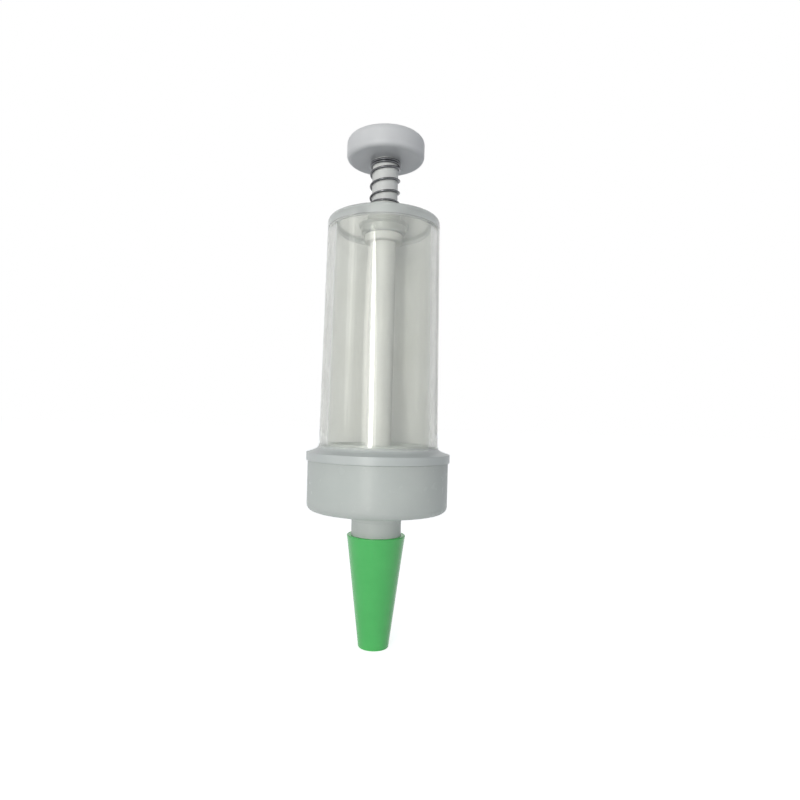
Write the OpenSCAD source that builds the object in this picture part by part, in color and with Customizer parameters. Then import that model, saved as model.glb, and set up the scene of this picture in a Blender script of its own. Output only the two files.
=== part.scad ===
/* [Push button] */
// Diameter of the push button
button_d = 18.3; // [15:0.1:26]
// Height of the push button
button_h = 5.2; // [4.6:0.1:9]
// Radius of the button's upper edge
button_edge = 1.4; // [0.4:0.1:1.8]
// Radius of the button's lower edge
button_low_edge = 1.1; // [0.3:0.1:1.5]
// Depth of the socket under the button that takes the rod's spigot
socket_deep = 3.2; // [2:0.1:3.8]

/* [Plunger rod] */
// Diameter of the plunger rod
rod_d = 6.1; // [5:0.1:7]
// Step from the rod in to its spigot
spigot_step = 0.8; // [0.4:0.1:1.2]
// How far the stop ring stands out from the rod
stop_lip = 1.4; // [1:0.05:3.5]
// Height of the stop ring
stop_h = 1.9; // [1.2:0.1:4]
// Height of the rod's end above the neck's mouth, at rest
rod_end_rise = 5.7; // [3:0.1:9]
// Length of the tapered nose at the rod's end
nose_len = 4; // [2:0.1:8]
// Wall of the nose around the pin
nose_wall = 0.5; // [0.4:0.05:0.9]

/* [Pusher pin] */
// Diameter of the pusher pin
pin_d = 2; // [1.2:0.1:2.8]
// Length of the pin that is held in the rod
pin_hold = 6; // [3:0.5:12]
// Height of the pin's end above the outlet face, with the button pressed
pin_stay = 2; // [1:0.1:5]

/* [Return spring] */
// Diameter of the spring wire
wire_d = 0.5; // [0.35:0.05:0.7]
// Length of the spring as it is fitted
spring_len = 10.5; // [8:0.1:16]
// Turns of the lower closed end
turns_low = 0.75; // [0.5:0.25:1.5]
// Open turns
turns_open = 3; // [2:0.25:4]
// Turns of the upper closed end
turns_high = 1.25; // [1:0.25:2.5]
// Gap between the turns of a closed end
closed_gap = 0.45; // [0.42:0.01:0.6]
// Play between the spring and the rod
spring_play = 0.1; // [0.06:0.01:0.3]
// Angle about the axis at which the wire starts
wire_start = 156; // [0:1:359]
// Length left over when the button is pressed and the turns nearly close
spring_slack = 1; // [0.3:0.05:1.5]

/* [Barrel] */
// Diameter of the barrel at its top face
barrel_top_d = 26.4; // [22:0.1:32]
// Diameter of the barrel at the flange's underside
barrel_base_d = 28.2; // [24:0.1:34]
// Height of the barrel from the flange's underside to its top face
barrel_h = 56.9; // [40:0.1:90]
// Wall of the barrel
barrel_wall = 2; // [1.2:0.1:2.6]
// Thickness of the barrel's top
top_wall = 2; // [1:0.1:3]
// Radius of the barrel's outer top edge
top_edge = 1; // [0.4:0.1:1.4]
// Radius of the chamber's inner top edge
chamber_edge = 0.6; // [0.2:0.1:1.5]
// Height of the guide boss on the barrel's top
boss_h = 3.5; // [2:0.1:6]
// How far the boss stands out past the spring
boss_lip = 0.1; // [0.05:0.05:1]
// Radius of the fillet at the foot of the boss
boss_fillet = 0.5; // [0.2:0.1:1]
// How far the guide collar hangs below the chamber's ceiling
collar_drop = 1.6; // [1:0.1:5]
// Wall of the guide collar
collar_wall = 2.2; // [1.2:0.1:3]
// Running gap between the rod and its guide
guide_gap = 0.08; // [0.03:0.01:0.1]
// Gap between the stop ring and the guide collar
stop_gap = 0.1; // [0.02:0.01:0.2]

/* [Flange] */
// How far the flange stands out past the cap
flange_over = 0.35; // [0.1:0.05:2]
// Thickness of the flange's rim
flange_t = 1.9; // [1.2:0.1:4]
// Radius of the rim's edges
flange_edge = 0.15; // [0.1:0.05:0.5]
// Height of the sloped flare between the rim and the barrel
flare_h = 1; // [0.6:0.1:3]
// Radius of the fillet where the flare meets the barrel
flare_fillet = 1.2; // [0.5:0.1:2]

/* [Cap] */
// Height of the cap from its floor to the flange's underside
cap_h = 11.6; // [9:0.1:20]
// Wall of the cap around the barrel's skirt
cap_wall = 2.39; // [1.4:0.01:4]
// Radius of the cap's rounded lower edge
cap_edge = 1.4; // [0.5:0.1:2.5]
// Radius of the cap's upper edge
cap_lip_edge = 0.1; // [0.1:0.05:0.6]
// Thickness of the cap's floor
floor_t = 2; // [1.2:0.1:3]
// Gap at the seam between the cap and the flange
seam_gap = 0.05; // [0.05:0.01:0.3]
// Sliding gap between the cap and the barrel
cap_gap = 0.06; // [0.02:0.01:0.15]
// Gap between the end of the barrel's skirt and the cap's floor
skirt_gap = 0.3; // [0.1:0.05:0.8]
// Height of the plug ring above the flange's underside
plug_rise = 4; // [1:0.1:10]
// Wall of the plug ring
plug_wall = 1.2; // [0.8:0.1:2]
// Slope of the funnel inside the plug ring
funnel_angle = 45; // [25:1:52]

/* [Neck] */
// Diameter of the neck under the cap
neck_d = 11.8; // [10:0.1:16]
// Length of the neck that shows between the cap and the tip
neck_show = 5.8; // [3:0.1:15]
// Length of the neck that is held in the tip
neck_hold = 8; // [4:0.1:12]
// Diameter of the passage through the neck
neck_bore_d = 7.8; // [7.4:0.1:8.6]
// Radius of the fillet between the neck and the cap
neck_fillet = 2.4; // [0.5:0.1:3]

/* [Tip] */
// Length of the tip
tip_len = 26.5; // [18:0.1:40]
// Diameter of the tip at its outlet face
tip_end_d = 7.2; // [6.6:0.1:9]
// Wall of the tip
tip_wall = 0.95; // [0.6:0.05:1.3]
// How far the tip's rim stands out past its cone
tip_lip = 0.05; // [0.05:0.05:0.6]
// Height over which the tip's rim flares out
tip_lip_h = 1.6; // [0.8:0.1:3]
// Radius of the tip's outer edges
tip_edge = 0.2; // [0.15:0.05:0.6]
// Gap of the taper fit between the neck and the tip
taper_gap = 0.05; // [0.02:0.01:0.1]
// Diameter of the outlet
outlet_d = 3.6; // [3.2:0.1:4.4]
// Length of the outlet's straight part
outlet_len = 3; // [1.5:0.1:6]

/* [Hidden] */
$fn = 96;

// How far a corner's area reaches past its corner
corner_past = 0.3;
// How much flatter than tangent a corner's arc is, and how far its area runs past the arc's ends
arc_ease = 1.06;
arc_over = 1.05;
// Share of a fillet's radius that is cut out
hollow_share = 0.965;
// Clearance around a piece that is pressed or glued in its socket
glue_gap = 0.02;
// Radius of small moulded edges, and of the boss's
small_edge = 0.3;
boss_edge = 0.25;
// Gaps between the spring and what it bears on
seat_gap = 0.05;
button_gap = 0.1;

// Heights above the outlet face
cap_z = tip_len + neck_show;
floor_z = cap_z + floor_t;
flange_z = cap_z + cap_h;
rim_z = flange_z + flange_t;
flare_z = rim_z + flare_h;
plug_z = flange_z + plug_rise;
top_z = flange_z + barrel_h;
ceiling_z = top_z - top_wall;
boss_z = top_z + boss_h;
button_z = boss_z + spring_len;
button_top_z = button_z + button_h;
cap_top_z = flange_z - seam_gap;
skirt_z = floor_z + skirt_gap;
collar_z = ceiling_z - collar_drop;
stop_z = collar_z - stop_gap;
neck_z = tip_len - neck_hold;
rod_end_z = floor_z + rod_end_rise;

// Radii
rod_r = rod_d / 2;
spigot_r = rod_r - spigot_step;
stop_r = rod_r + stop_lip;
pin_r = pin_d / 2;
nose_r = pin_r + glue_gap + nose_wall;
button_r = button_d / 2;
wire_r = wire_d / 2;
base_r = barrel_base_d / 2;
top_r = barrel_top_d / 2;
draft = (base_r - top_r) / barrel_h;
bore_r = wall_r(plug_z) - barrel_wall;
guide_r = rod_r + guide_gap;
collar_r = guide_r + collar_wall;
cap_in_r = base_r + cap_gap;
cap_r = cap_in_r + cap_wall;
flange_r = cap_r + flange_over;
plug_r = bore_r - cap_gap;
plug_in_r = plug_r - plug_wall;
neck_r = neck_d / 2;
neck_bore_r = neck_bore_d / 2;
funnel_z = floor_z + (plug_in_r - neck_bore_r) * tan(funnel_angle);

// Tapered tip: its outside, its inside and the neck in it share one slope
tip_in_r = neck_r + taper_gap;
tip_rim_r = tip_in_r + tip_wall;
tip_end_r = tip_end_d / 2;
tip_slope = (tip_rim_r - tip_end_r) / tip_len;
tip_lip_r = tip_rim_r + tip_lip;
outlet_r = outlet_d / 2;
throat_z = (tip_end_r - tip_wall - outlet_r + outlet_len) / (1 - tip_slope);
throat_r = outlet_r + throat_z - outlet_len;

// Spring: rings of the wire lie 8 to a turn, so its flats clear the rod
rings = 8;
sides = 6;
closed_pitch = wire_d + closed_gap;
turns = turns_low + turns_open + turns_high;
spring_r = (rod_r + spring_play) / cos(180 / rings) + wire_r * cos(180 / sides);
spring_z = boss_z + seat_gap + wire_r;
spring_rise = spring_len - wire_d - seat_gap - button_gap;
open_pitch = (spring_rise - closed_pitch * (turns_low + turns_high)) / turns_open;
travel = spring_len - turns * wire_d - spring_slack;
pin_end_z = travel + pin_stay;
boss_r = spring_r + wire_r + boss_lip;

// Radius of the barrel's outside at a height
function wall_r(z) = base_r - draft * (z - flange_z);

function unit(v) = v / norm(v);

// Height of the wire's centre after a number of turns
function wire_z(t) = spring_z + closed_pitch * min(t, turns_low)
    + open_pitch * max(0, min(t - turns_low, turns_open))
    + closed_pitch * max(0, t - turns_low - turns_open);

function wire_centre(k) = [
    spring_r * cos(wire_start + 360 * k / rings),
    spring_r * sin(wire_start + 360 * k / rings),
    wire_z(k / rings)
];

// Distance from a corner to the ends of the arc that rounds it, between directions a and b
function reach(a, b, r) = r / tan(acos(a * b) / 2);

// What is cut from an outer corner p to round it; a and b run from p along its two sides.
// The arc is a little flatter than a tangent one, so it crosses both sides cleanly.
module corner(p, a, b, r) {
    half = acos(a * b) / 2;
    ends = reach(a, b, r);
    chord = ends * sin(half);
    flat_r = r * arc_ease;
    centre = p + unit(a + b) * (ends * cos(half) + sqrt(flat_r * flat_r - chord * chord));
    difference() {
        polygon([p - (a + b) * corner_past, p + a * ends * arc_over, p + b * ends * arc_over]);
        translate(centre) circle(flat_r);
    }
}

// What is cut from the bevel of an inner corner p to make it a fillet, just clear of its sides
module hollow(p, a, b, r) {
    half = acos(a * b) / 2;
    translate(p + unit(a + b) * r / sin(half)) circle(r * hollow_share);
}

module push_button() {
    color([0.83, 0.84, 0.85])
    rotate_extrude()
    difference() {
        polygon([
            [0, button_top_z],
            [button_r, button_top_z],
            [button_r, button_z],
            [spigot_r + glue_gap, button_z],
            [spigot_r + glue_gap, button_z + socket_deep],
            [0, button_z + socket_deep]
        ]);
        corner([button_r, button_top_z], [-1, 0], [0, -1], button_edge);
        corner([button_r, button_z], [-1, 0], [0, 1], button_low_edge);
    }
}

module plunger_rod() {
    color([0.86, 0.86, 0.85])
    rotate_extrude()
    difference() {
        polygon([
            [0, button_z + socket_deep],
            [spigot_r, button_z + socket_deep],
            [spigot_r, button_z],
            [rod_r, button_z],
            [rod_r, stop_z],
            [stop_r, stop_z],
            [stop_r, stop_z - stop_h],
            [rod_r, stop_z - stop_h],
            [rod_r, rod_end_z + nose_len],
            [nose_r, rod_end_z],
            [pin_r + glue_gap, rod_end_z],
            [pin_r + glue_gap, rod_end_z + pin_hold],
            [0, rod_end_z + pin_hold]
        ]);
        corner([stop_r, stop_z], [-1, 0], [0, -1], small_edge);
        corner([stop_r, stop_z - stop_h], [-1, 0], [0, 1], small_edge);
    }
}

module pusher_pin() {
    color([0.74, 0.75, 0.76])
    rotate_extrude()
    difference() {
        polygon([
            [0, rod_end_z + pin_hold],
            [pin_r, rod_end_z + pin_hold],
            [pin_r, pin_end_z],
            [0, pin_end_z]
        ]);
        corner([pin_r, pin_end_z], [-1, 0], [0, 1], small_edge);
    }
}

module return_spring() {
    steps = round(turns * rings);
    centres = [for (k = [0 : steps]) wire_centre(k)];
    points = [
        for (k = [0 : steps])
            let (spin = wire_start + 360 * k / rings, out = [cos(spin), sin(spin), 0])
            for (s = [0 : sides - 1])
                let (around = (s + 0.5) * 360 / sides)
                centres[k] + wire_r * (cos(around) * out + [0, 0, sin(around)])
    ];
    tube = [
        for (k = [0 : steps - 1])
            for (s = [0 : sides - 1])
                let (a = k * sides + s, b = k * sides + (s + 1) % sides)
                each [[a, b, a + sides], [b, b + sides, a + sides]]
    ];
    ends = [
        for (s = [1 : sides - 2])
            each [[0, s + 1, s], [steps * sides, steps * sides + s, steps * sides + s + 1]]
    ];
    gaps = [
        for (i = [0 : steps])
            for (j = [i + rings / 2 : 1 : steps])
                norm(centres[i] - centres[j]) - wire_d
    ];
    echo(least_gap_of_the_spring_to_itself = min(gaps));
    color([0.42, 0.43, 0.44])
    polyhedron(points, concat(tube, ends));
}

module barrel() {
    up_wall = unit([-draft, 1]);
    down_wall = -up_wall;
    down_flare = unit([flange_r, rim_z] - [wall_r(flare_z), flare_z]);
    ceiling_r = wall_r(ceiling_z) - barrel_wall;
    bore_top_z = plug_z + skirt_gap;
    down_bore = unit([bore_r, bore_top_z] - [ceiling_r, ceiling_z]);
    flare_end = [wall_r(flare_z), flare_z];
    flare_reach = reach(up_wall, down_flare, flare_fillet);
    boss_foot = [boss_r, top_z];
    ceiling_end = [ceiling_r, ceiling_z];
    edge_reach = reach([-1, 0], down_bore, chamber_edge);
    color([0.86, 0.88, 0.87, 0.45])
    rotate_extrude()
    difference() {
        polygon([
            [bore_r, skirt_z],
            [base_r, skirt_z],
            [base_r, flange_z],
            [flange_r, flange_z],
            [flange_r, rim_z],
            flare_end + down_flare * flare_reach,
            flare_end + up_wall * flare_reach,
            [top_r, top_z],
            boss_foot + [boss_fillet, 0],
            boss_foot + [0, boss_fillet],
            [boss_r, boss_z],
            [guide_r, boss_z],
            [guide_r, collar_z],
            [collar_r, collar_z],
            [collar_r, ceiling_z],
            ceiling_end - [edge_reach, 0],
            ceiling_end + down_bore * edge_reach,
            [bore_r, bore_top_z]
        ]);
        hollow(flare_end, up_wall, down_flare, flare_fillet);
        hollow(boss_foot, [1, 0], [0, 1], boss_fillet);
        hollow(ceiling_end, [-1, 0], down_bore, chamber_edge);
        corner([flange_r, flange_z], [-1, 0], [0, 1], flange_edge);
        corner([flange_r, rim_z], [0, -1], -down_flare, flange_edge);
        corner([top_r, top_z], [-1, 0], down_wall, top_edge);
        corner([boss_r, boss_z], [-1, 0], [0, -1], boss_edge);
        corner([collar_r, collar_z], [-1, 0], [0, 1], small_edge);
        corner([base_r, skirt_z], [-1, 0], [0, 1], small_edge);
    }
}

module cap() {
    neck_top = [neck_r, cap_z];
    color([0.80, 0.83, 0.85, 0.85])
    rotate_extrude()
    difference() {
        polygon([
            [neck_bore_r, neck_z],
            [neck_r - tip_slope * neck_hold, neck_z],
            [neck_r, tip_len],
            neck_top - [0, neck_fillet],
            neck_top + [neck_fillet, 0],
            [cap_r, cap_z],
            [cap_r, cap_top_z],
            [cap_in_r, cap_top_z],
            [cap_in_r, floor_z],
            [plug_r, floor_z],
            [plug_r, plug_z],
            [plug_in_r, plug_z],
            [plug_in_r, funnel_z],
            [neck_bore_r, floor_z]
        ]);
        hollow(neck_top, [1, 0], [0, -1], neck_fillet);
        corner([cap_r, cap_z], [-1, 0], [0, 1], cap_edge);
        corner([cap_r, cap_top_z], [-1, 0], [0, -1], cap_lip_edge);
        corner([plug_r, plug_z], [-1, 0], [0, -1], small_edge);
        corner([plug_in_r, plug_z], [1, 0], [0, -1], small_edge);
    }
}

module nozzle_tip() {
    up_cone = unit([tip_rim_r, tip_len] - [tip_end_r, 0]);
    lip_foot = [tip_rim_r - tip_slope * tip_lip_h, tip_len - tip_lip_h];
    down_lip = unit(lip_foot - [tip_lip_r, tip_len]);
    color([0.36, 0.76, 0.43])
    rotate_extrude()
    difference() {
        polygon([
            [outlet_r, 0],
            [tip_end_r, 0],
            lip_foot,
            [tip_lip_r, tip_len],
            [tip_in_r, tip_len],
            [throat_r, throat_z],
            [outlet_r, outlet_len]
        ]);
        corner([tip_end_r, 0], [-1, 0], up_cone, tip_edge);
        corner([tip_lip_r, tip_len], [-1, 0], down_lip, tip_edge);
    }
}

push_button();
plunger_rod();
pusher_pin();
return_spring();
barrel();
cap();
nozzle_tip();
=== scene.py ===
"""Looks of the seed dispenser: materials, a smooth wound spring, light and the photograph's camera."""

import math

import bmesh
import bpy
from mathutils import Matrix, Vector


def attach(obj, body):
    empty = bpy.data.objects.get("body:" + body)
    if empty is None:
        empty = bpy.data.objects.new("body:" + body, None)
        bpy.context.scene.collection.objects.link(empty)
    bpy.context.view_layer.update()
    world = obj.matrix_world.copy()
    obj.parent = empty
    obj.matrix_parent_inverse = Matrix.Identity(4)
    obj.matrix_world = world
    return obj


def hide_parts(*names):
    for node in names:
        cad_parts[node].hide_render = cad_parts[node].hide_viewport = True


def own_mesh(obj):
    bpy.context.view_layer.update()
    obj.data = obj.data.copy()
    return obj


MM = 0.001

# The photograph's camera. It is level with the dispenser's middle, and close, so the lens is wide.
IMAGE_PX = 800
SENSOR_MM = 36
FOCAL_PX = 590
EYE_DISTANCE = 140 * MM
EYE_HEIGHT = 53.6 * MM
ROLL = math.radians(-1.49)
FOOT_PX = (378.9, 420)  # where the axis crosses the camera's level
NEAREST_SEEN = 10 * MM

# The spring, as wound round the rod between the boss and the button
WIRE_R = 0.25 * MM
SPRING_R = 3.36 * MM
SPRING_LOW_Z = 104.3 * MM
SPRING_HIGH_Z = 114.8 * MM
SPRING_SEAT = 0.03 * MM
CLOSED_PITCH = 0.53 * MM
TURNS_LOW = 0.65
TURNS_OPEN = 3.0
TURNS_HIGH = 2.25
WIRE_START = math.radians(156)
STEPS_PER_TURN = 72
WIRE_SIDES = 14
END_ROUND = 0.35  # share of the wire's radius that its cut ends are rounded by

# The barrel is a clear moulding with faint lines along its flow
CLEARNESS = 0.94
BARREL_GLOSS = (0.03, 0.07)
FLOW_STRETCH = (1, 1, 0.03)
FLOW_DEPTH = 0.04 * MM

# Its foot turns from clear to milky over a soft edge
FOOT_Z = (46.4 * MM, 48.2 * MM)
FOOT_CLEARNESS = 0.3
FOOT_DULLNESS = 0.3

# It is hazy at its top's rim, outside a radius, and more weakly at its guide, inside a radius
RIM_Z = (98 * MM, 98.6 * MM)
RIM_R = (10.2 * MM, 10.9 * MM)
RIM_HAZE = 1
GUIDE_Z = (96.8 * MM, 97.2 * MM)
GUIDE_R = (6.2 * MM, 5.6 * MM)
GUIDE_HAZE = 0.6
HAZE_CLEARNESS = -0.45
HAZE_DULLNESS = 0.1

# The cap is milky and smooth
CAP_GLOSS = (0.24, 0.28)
CAP_SKIN_DEPTH = 0.002 * MM
CAP_THROUGH = 0.4  # share of its light that comes out on the other side

# How much of the lamps' light each face of the barrel and of the cap lets through to what is inside
BARREL_PASSES = (0.83, 0.83, 0.83, 1)
CAP_PASSES = (0.94, 0.95, 0.95, 1)

# A noise is mostly between these
NOISE_SPAN = (0.3, 0.7)
NOISE_ROUGHNESS = 0.55

# Light. Azimuths and leans are in degrees, and a lamp's radiance is how bright its face is.
CORE = {"azimuth": -15.8, "distance": 0.6, "height": 0.1, "size": (0.07, 0.4), "lean": 8, "radiance": 14.3}
KEY = {"azimuth": -19.5, "distance": 0.62, "height": 0.1, "size": (0.28, 0.44), "lean": 18, "radiance": 3.2}
SIDE = {"azimuth": -66, "distance": 0.7, "height": 0.3, "size": (0.16, 0.5), "lean": 0, "radiance": 1.6}
WARM = (1, 0.99, 0.945)
AIM = (0, 0, 0.07)
COOL = (0.88, 0.93, 1, 1)
AMBIENT = 0.295
WHITE = (1, 1, 1, 1)

# Floor and backdrop
MATT = 0.9
FLOOR_SIZE = 6.0
FLOOR_GREY = 0.93
FLOOR_GLOW = 0.76
BACKDROP_Y = 17.5 * MM  # just behind the widest ring
BACKDROP_WIDTH = 0.6
BACKDROP_TOP = 0.3
BACKDROP_GREY = 0.96


def lin(r, g, b):
    """A colour as the photograph shows it, 0 to 255, in linear light with alpha 1."""
    def one(v):
        v /= 255
        return v / 12.92 if v <= 0.04045 else ((v + 0.055) / 1.055) ** 2.4
    return (one(r), one(g), one(b), 1.0)


# Each material's colour runs between two close shades
KNOB = (lin(217, 218, 220), lin(222, 223, 225))
ROD = (lin(224, 225, 224), lin(229, 230, 228))
CLEAR = (lin(244, 245, 241), lin(248, 249, 246))
HAZY = (lin(226, 230, 229), lin(231, 235, 234))
MILKY = (lin(219, 225, 224), lin(226, 230, 229))
CAP = (lin(224, 228, 226), lin(230, 233, 231))
GREEN = (lin(82, 200, 104), lin(88, 206, 110))
PIN_STEEL = (lin(190, 192, 194), lin(205, 206, 208))
SPRING_STEEL = (lin(96, 97, 100), lin(116, 117, 120))


class Graph:
    """The node tree of a material or of the world, with short calls to add and join nodes."""

    def __init__(self, owner, output):
        owner.use_nodes = True
        self.owner = owner
        self.nodes = owner.node_tree.nodes
        self.links = owner.node_tree.links
        self.nodes.clear()
        self.out = self.add(output)

    def add(self, kind, inputs=None, **values):
        """A new node with these values. An input gets a value, or a link to another node's output."""
        node = self.nodes.new(kind)
        for name, value in values.items():
            setattr(node, name, value)
        self.feed(node, inputs or {})
        return node

    def feed(self, node, inputs):
        for name, value in inputs.items():
            if isinstance(value, bpy.types.NodeSocket):
                self.links.new(value, node.inputs[name])
            else:
                node.inputs[name].default_value = value

    def math(self, operation, first, second, **values):
        node = self.add("ShaderNodeMath", {0: first, 1: second}, operation=operation, **values)
        return node.outputs[0]

    def mix(self, fac, first, second):
        return self.add("ShaderNodeMixShader", {"Fac": fac, 1: first, 2: second}).outputs["Shader"]

    def seen_background(self):
        """1 for the rays that show the background: straight, in a reflection or through clear plastic.

        Light that a surface has already scattered is left out, so the background adds none to the object.
        """
        path = self.add("ShaderNodeLightPath").outputs
        total = path["Is Camera Ray"]
        for name in ("Is Glossy Ray", "Is Transmission Ray"):
            total = self.math("ADD", total, path[name], use_clamp=True)
        unscattered = self.math("LESS_THAN", path["Diffuse Depth"], 0.5)
        return self.math("MULTIPLY", total, unscattered)

    def finish(self, shader):
        self.feed(self.out, {"Surface": shader})
        return self.owner


class Material(Graph):
    """A material's node tree. Its patterns are placed in the object's own metres."""

    def __init__(self, name):
        super().__init__(bpy.data.materials.new(name), "ShaderNodeOutputMaterial")
        self.coords = self.add("ShaderNodeTexCoord").outputs["Object"]

    def principled(self, color, roughness, **sockets):
        named = {name.replace("_", " "): value for name, value in sockets.items()}
        return self.add("ShaderNodeBsdfPrincipled", {"Base Color": color, "Roughness": roughness, **named})

    def matt(self, grey):
        return self.principled((grey, grey, grey, 1), MATT, Specular_IOR_Level=0)

    def stretched(self, scale):
        return self.add("ShaderNodeMapping", {"Scale": scale, "Vector": self.coords}).outputs["Vector"]

    def noise(self, scale, detail, coords=None):
        inputs = {"Scale": scale, "Detail": detail, "Roughness": NOISE_ROUGHNESS}
        return self.add("ShaderNodeTexNoise", {**inputs, "Vector": coords or self.coords}).outputs["Fac"]

    def spread(self, value, span, low, high, way="SMOOTHSTEP"):
        """From low to high as value goes from the span's first number to its second."""
        inputs = {"Value": value, "From Min": span[0], "From Max": span[1], "To Min": low, "To Max": high}
        return self.add("ShaderNodeMapRange", inputs, interpolation_type=way).outputs["Result"]

    def between(self, noise, low, high):
        return self.spread(noise, NOISE_SPAN, low, high, "LINEAR")

    def colors(self, noise, shades):
        node = self.add("ShaderNodeValToRGB", {"Fac": noise})
        for stop, position, shade in zip(node.color_ramp.elements, NOISE_SPAN, shades):
            stop.position = position
            stop.color = shade
        return node.outputs["Color"]

    def blend(self, fac, first, second):
        inputs = {"Factor": fac, "A": first, "B": second}
        return self.add("ShaderNodeMix", inputs, data_type="RGBA").outputs["Result"]

    def bump(self, height, distance):
        inputs = {"Height": height, "Distance": distance, "Strength": 1}
        return self.add("ShaderNodeBump", inputs).outputs["Normal"]

    def open_to_lamps(self, shader, passes):
        """Lets the lamps' light through to what is inside."""
        open_face = self.add("ShaderNodeBsdfTransparent", {"Color": passes})
        path = self.add("ShaderNodeLightPath")
        return self.mix(path.outputs["Is Shadow Ray"], shader, open_face.outputs["BSDF"])


def moulded(name, shades, roughness, grain, grain_depth, **sockets):
    """Moulded plastic with soft mottling, uneven gloss and a fine skin."""
    t = Material(name)
    shader = t.principled(shades[0], roughness[0], **sockets)
    t.feed(shader, {
        "Base Color": t.colors(t.noise(scale=160, detail=4), shades),
        "Roughness": t.between(t.noise(scale=420, detail=5), *roughness),
        "Normal": t.bump(t.noise(scale=grain, detail=3), grain_depth),
    })
    return t.finish(shader.outputs["BSDF"])


def clear_plastic():
    """Clear moulding with a faint haze, a milky, softer foot, and a hazy rim and guide at its top."""
    t = Material("clear_plastic")
    height = t.add("ShaderNodeSeparateXYZ", {0: t.coords}).outputs["Z"]
    radius = t.add("ShaderNodeVectorMath", {0: t.stretched((1, 1, 0))}, operation="LENGTH").outputs["Value"]
    clear = t.spread(height, FOOT_Z, 0, 1)
    rim = t.math("MULTIPLY", t.spread(height, RIM_Z, 0, RIM_HAZE), t.spread(radius, RIM_R, 0, 1))
    guide = t.math("MULTIPLY", t.spread(height, GUIDE_Z, 0, GUIDE_HAZE), t.spread(radius, GUIDE_R, 0, 1))
    hazy = t.math("MAXIMUM", rim, guide)

    mottling = t.noise(scale=120, detail=4)
    body = t.blend(clear, t.colors(mottling, MILKY), t.colors(t.noise(scale=90, detail=4), CLEAR))
    through = t.math(
        "ADD", t.spread(clear, (0, 1), FOOT_CLEARNESS, CLEARNESS), t.spread(hazy, (0, 1), 0, HAZE_CLEARNESS)
    )
    dullness = t.math(
        "ADD", t.spread(clear, (0, 1), FOOT_DULLNESS, 0), t.spread(hazy, (0, 1), 0, HAZE_DULLNESS)
    )
    gloss = t.between(t.noise(scale=700, detail=5), *BARREL_GLOSS)
    flow = t.noise(scale=60, detail=1, coords=t.stretched(FLOW_STRETCH))

    shader = t.principled(CLEAR[0], BARREL_GLOSS[0], IOR=1.49)
    t.feed(shader, {
        "Base Color": t.blend(hazy, body, t.colors(mottling, HAZY)),
        "Transmission Weight": through,
        "Roughness": t.math("ADD", gloss, dullness),
        "Normal": t.bump(flow, FLOW_DEPTH),
    })
    return t.finish(t.open_to_lamps(shader.outputs["BSDF"], BARREL_PASSES))


def milky_plastic():
    """Milky moulding: part of the light on one side comes out on the other, which evens out its shading."""
    t = Material("milky_plastic")
    color = t.colors(t.noise(scale=120, detail=4), CAP)
    shader = t.principled(CAP[0], CAP_GLOSS[0], IOR=1.5)
    t.feed(shader, {
        "Base Color": color,
        "Roughness": t.between(t.noise(scale=500, detail=4), *CAP_GLOSS),
        "Normal": t.bump(t.noise(scale=900, detail=2), CAP_SKIN_DEPTH),
    })
    through = t.add("ShaderNodeBsdfTranslucent", {"Color": color})
    both = t.mix(CAP_THROUGH, shader.outputs["BSDF"], through.outputs["BSDF"])
    return t.finish(t.open_to_lamps(both, CAP_PASSES))


def drawn_steel(name, shades, roughness):
    """Steel wire with uneven gloss and fine marks of drawing."""
    t = Material(name)
    shader = t.principled(shades[0], roughness[0], Metallic=1.0)
    t.feed(shader, {
        "Base Color": t.colors(t.noise(scale=900, detail=4), shades),
        "Roughness": t.between(t.noise(scale=1600, detail=4), *roughness),
        "Normal": t.bump(t.noise(scale=4000, detail=2), 0.004 * MM),
    })
    return t.finish(shader.outputs["BSDF"])


def linked(name, data):
    """A new object of the scene that holds this mesh, lamp or camera."""
    thing = bpy.data.objects.new(name, data)
    bpy.context.scene.collection.objects.link(thing)
    return thing


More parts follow.
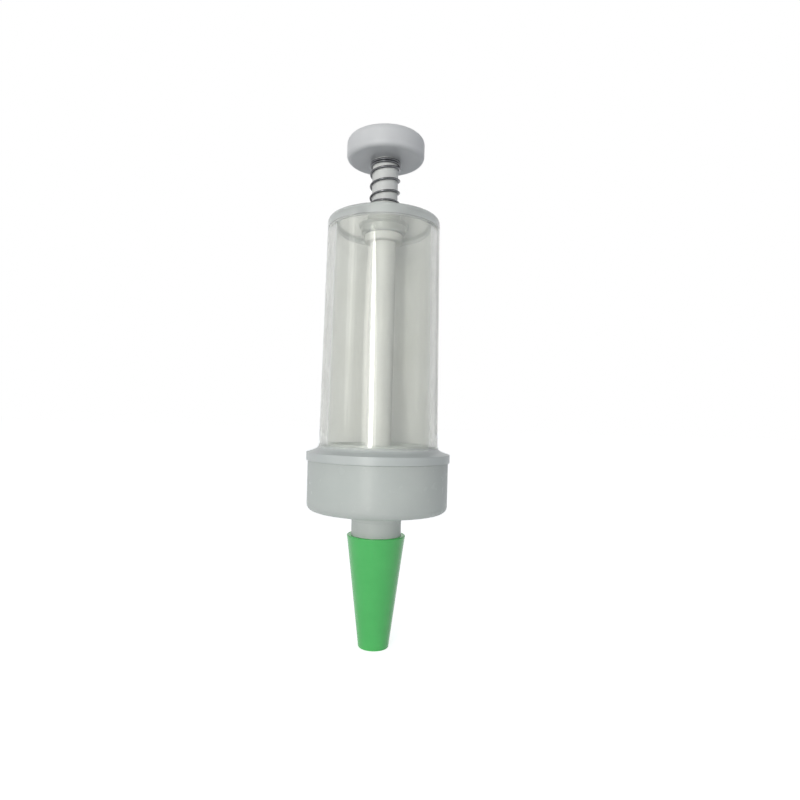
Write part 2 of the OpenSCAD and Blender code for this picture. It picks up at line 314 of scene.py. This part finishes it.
def wound_spring():
    """One round wire: closed turns on the boss, open turns, and closed turns under the button."""
    turns = TURNS_LOW + TURNS_OPEN + TURNS_HIGH
    low = SPRING_LOW_Z + SPRING_SEAT + WIRE_R
    rise = SPRING_HIGH_Z - SPRING_SEAT - WIRE_R - low
    open_pitch = (rise - CLOSED_PITCH * (TURNS_LOW + TURNS_HIGH)) / TURNS_OPEN
    bm = bmesh.new()
    rings = []

    def centre(turn):
        opened = max(0.0, min(turn - TURNS_LOW, TURNS_OPEN))
        closed = turn - opened
        angle = WIRE_START + math.tau * turn
        height = low + CLOSED_PITCH * closed + open_pitch * opened
        return Vector((SPRING_R * math.cos(angle), SPRING_R * math.sin(angle), height))

    def heading(turn):
        step = 0.25 / STEPS_PER_TURN
        return (centre(turn + step) - centre(turn - step)).normalized()

    def ring(middle, along, radius):
        out = Vector((middle.x, middle.y, 0)).normalized()
        out = (out - along * out.dot(along)).normalized()
        up = along.cross(out)
        rings.append([
            bm.verts.new(middle + radius * (math.cos(a) * out + math.sin(a) * up))
            for a in (math.tau * s / WIRE_SIDES for s in range(WIRE_SIDES))
        ])

    edge = WIRE_R * END_ROUND
    first, last = heading(0), heading(turns)
    steps = round(turns * STEPS_PER_TURN)
    ring(centre(0) - first * edge, first, WIRE_R - edge)
    for k in range(steps + 1):
        turn = turns * k / steps
        ring(centre(turn), heading(turn), WIRE_R)
    ring(centre(turns) + last * edge, last, WIRE_R - edge)
    for a, b in zip(rings, rings[1:]):
        for s in range(WIRE_SIDES):
            n = (s + 1) % WIRE_SIDES
            bm.faces.new((a[s], a[n], b[n], b[s]))
    bm.faces.new(list(reversed(rings[0])))
    bm.faces.new(rings[-1])
    bmesh.ops.recalc_face_normals(bm, faces=bm.faces)
    mesh = bpy.data.meshes.new("wound_spring")
    bm.to_mesh(mesh)
    bm.free()
    mesh.polygons.foreach_set("use_smooth", [len(p.vertices) == 4 for p in mesh.polygons])
    return linked("wound_spring", mesh)


def camera():
    data = bpy.data.cameras.new("camera")
    data.sensor_width = SENSOR_MM
    data.lens = SENSOR_MM * FOCAL_PX / IMAGE_PX
    data.shift_x = (IMAGE_PX / 2 - FOOT_PX[0]) / IMAGE_PX
    data.shift_y = (FOOT_PX[1] - IMAGE_PX / 2) / IMAGE_PX
    data.clip_start = NEAREST_SEEN
    eye = linked("camera", data)
    turn = Matrix.Rotation(ROLL, 4, "Y") @ Matrix.Rotation(math.radians(90), 4, "X")
    eye.matrix_world = Matrix.Translation((0, -EYE_DISTANCE, EYE_HEIGHT)) @ turn
    bpy.context.scene.camera = eye


def softbox(name, azimuth, distance, height, size, lean, radiance):
    """An oval area lamp that looks at the dispenser."""
    data = bpy.data.lights.new(name, "AREA")
    data.shape = "ELLIPSE"
    data.size, data.size_y = size
    data.color = WARM
    data.energy = radiance * math.pi * math.pi * size[0] * size[1] / 4
    lamp = linked(name, data)
    turn = math.radians(azimuth)
    lamp.location = (distance * math.sin(turn), -distance * math.cos(turn), height)
    facing = (Vector(AIM) - lamp.location).to_track_quat("-Z", "Y")
    lamp.rotation_euler = (facing.to_matrix() @ Matrix.Rotation(math.radians(lean), 3, "Z")).to_euler()


def white_world():
    """White where it is seen, and a weak cool light on the object."""
    world = bpy.data.worlds.new("white")
    bpy.context.scene.world = world
    t = Graph(world, "ShaderNodeOutputWorld")
    shown = t.add("ShaderNodeBackground", {"Color": WHITE})
    ambient = t.add("ShaderNodeBackground", {"Color": COOL, "Strength": AMBIENT})
    t.finish(t.mix(t.seen_background(), ambient.outputs[0], shown.outputs[0]))


def pale_floor():
    bpy.ops.mesh.primitive_plane_add(size=FLOOR_SIZE, location=(0, 0, 0))
    floor = bpy.context.object
    floor.name = "floor"
    t = Material("floor")
    glow = t.add("ShaderNodeEmission", {"Strength": t.math("MULTIPLY", t.seen_background(), FLOOR_GLOW)})
    cloth = t.matt(FLOOR_GREY)
    both = t.add("ShaderNodeAddShader", {0: cloth.outputs["BSDF"], 1: glow.outputs[0]})
    floor.data.materials.append(t.finish(both.outputs[0]))


def near_backdrop():
    """A pale sheet close behind, which shows only through clear plastic and catches the shadows there."""
    half = BACKDROP_WIDTH / 2
    mesh = bpy.data.meshes.new("backdrop")
    corners = [(-half, 0), (half, 0), (half, BACKDROP_TOP), (-half, BACKDROP_TOP)]
    mesh.from_pydata([(x, BACKDROP_Y, z) for x, z in corners], [], [(0, 1, 2, 3)])
    sheet = linked("backdrop", mesh)
    t = Material("backdrop")
    mesh.materials.append(t.finish(t.matt(BACKDROP_GREY).outputs["BSDF"]))
    for rays in ("camera", "diffuse", "glossy", "shadow", "volume_scatter"):
        setattr(sheet, "visible_" + rays, False)


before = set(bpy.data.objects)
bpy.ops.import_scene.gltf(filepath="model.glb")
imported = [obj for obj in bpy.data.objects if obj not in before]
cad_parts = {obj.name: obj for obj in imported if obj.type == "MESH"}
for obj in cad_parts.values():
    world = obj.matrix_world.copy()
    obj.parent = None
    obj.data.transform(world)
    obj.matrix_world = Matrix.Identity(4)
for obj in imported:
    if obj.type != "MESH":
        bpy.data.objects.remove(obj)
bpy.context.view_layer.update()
camera()

looks = {
    "push_button": moulded("knob_plastic", KNOB, roughness=(0.36, 0.48), grain=1400, grain_depth=0.012 * MM),
    "plunger_rod": moulded("rod_plastic", ROD, roughness=(0.38, 0.5), grain=1400, grain_depth=0.01 * MM),
    "pusher_pin": drawn_steel("pin_steel", PIN_STEEL, roughness=(0.22, 0.34)),
    "barrel": clear_plastic(),
    "cap": milky_plastic(),
    "nozzle_tip": moulded(
        "green_plastic", GREEN, roughness=(0.2, 0.27), grain=1100, grain_depth=0.008 * MM,
        Subsurface_Weight=0.1, Subsurface_Radius=(0.3, 1.0, 0.4), Subsurface_Scale=1.2 * MM,
    ),
}
for node, look in looks.items():
    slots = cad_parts[node].data.materials
    slots.clear()
    slots.append(look)

spring = wound_spring()
spring.data.materials.append(drawn_steel("spring_steel", SPRING_STEEL, roughness=(0.16, 0.28)))
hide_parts("return_spring")
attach(spring, "barrel")
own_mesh(spring)

bpy.context.scene.view_settings.view_transform = "Standard"
white_world()
pale_floor()
near_backdrop()
softbox("core", **CORE)
softbox("key", **KEY)
softbox("side", **SIDE)
